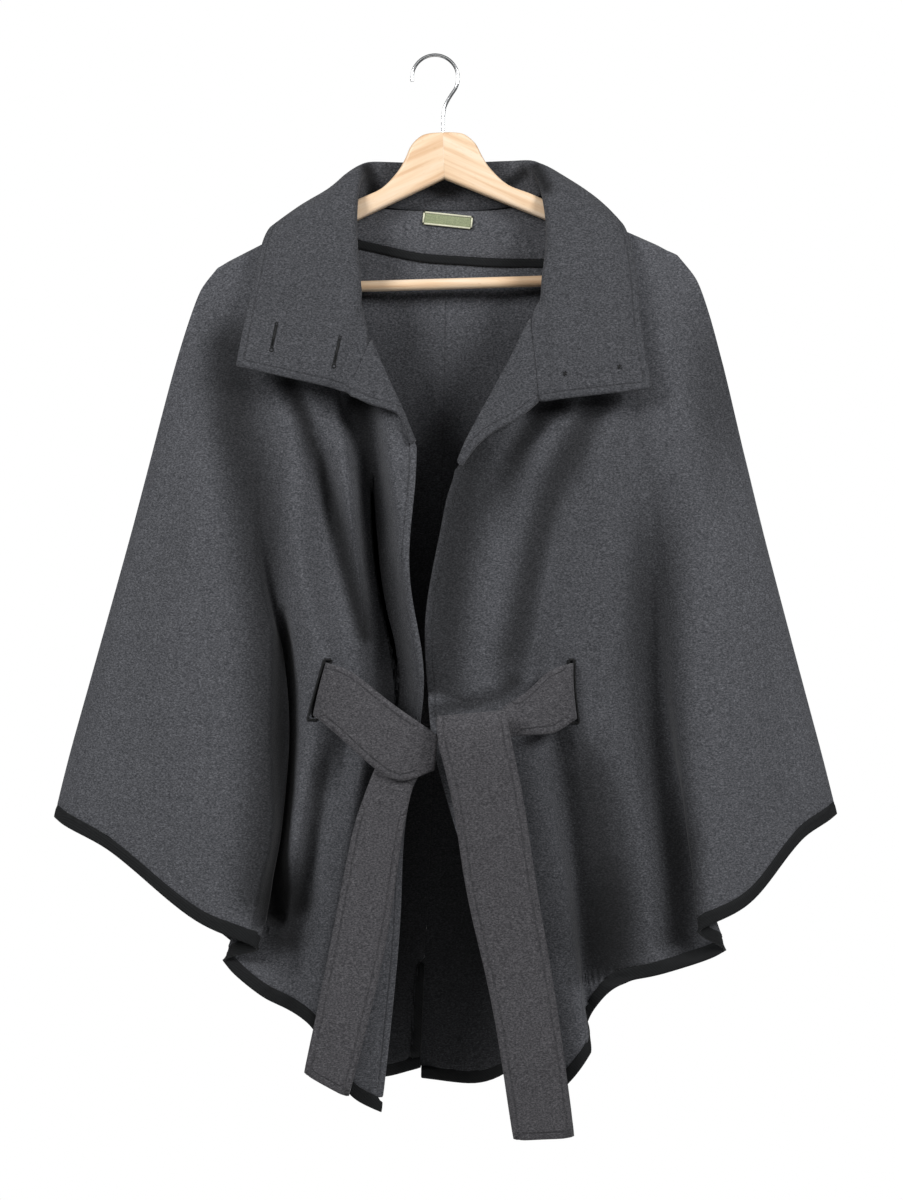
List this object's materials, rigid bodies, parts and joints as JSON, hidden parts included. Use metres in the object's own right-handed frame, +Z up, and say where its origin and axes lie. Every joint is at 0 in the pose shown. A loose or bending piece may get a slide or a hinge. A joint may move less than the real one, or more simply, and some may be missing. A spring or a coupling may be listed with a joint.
{
  "type": "belted wool cape on a wooden coat hanger",
  "caption": "Open-fronted thigh-length wool cape with a turned-out funnel collar, bound hem and tie belt passed through slits, hung on a wooden hanger.",
  "frame": {"origin": "inside of the hanger hook's crown, where it is held", "axes": "+Z up; -Y is the garment's front; +X is the wearer's left side, to the right as seen from the front"},
  "size_m": [0.7837, 0.1511, 1.0698],
  "materials": {
    "wool": "felted melange wool, matt",
    "belt_wool": "felted melange wool, matt, slightly warmer",
    "tape": "folded binding tape, matt",
    "wood": "clear satin lacquer on pale wood",
    "chrome": "bright plated wire",
    "label": "bare woven ribbon",
    "horn": "dark semi-gloss button"
  },
  "bodies": {
    "root": {"front_right": "wool", "front_left": "wool", "back_right": "wool", "back_left": "wool", "collar": "wool", "front_right_turn": "wool", "front_left_turn": "wool", "neck_facing": "wool", "belt_front_right": "belt_wool", "belt_front_left": "belt_wool", "belt_end_right": "belt_wool", "belt_end_left": "belt_wool", "belt_back": "belt_wool", "front_right_hem_tape": "tape", "front_left_hem_tape": "tape", "back_right_hem_tape": "tape", "back_left_hem_tape": "tape", "back_vent_tape": "tape", "neck_facing_tape": "tape", "label": "label", "button_1": "horn", "button_2": "horn", "hanger_arm_right": "wood", "hanger_arm_left": "wood", "hanger_bar": "wood", "hanger_hook": "chrome"}
  },
  "joints": []
}
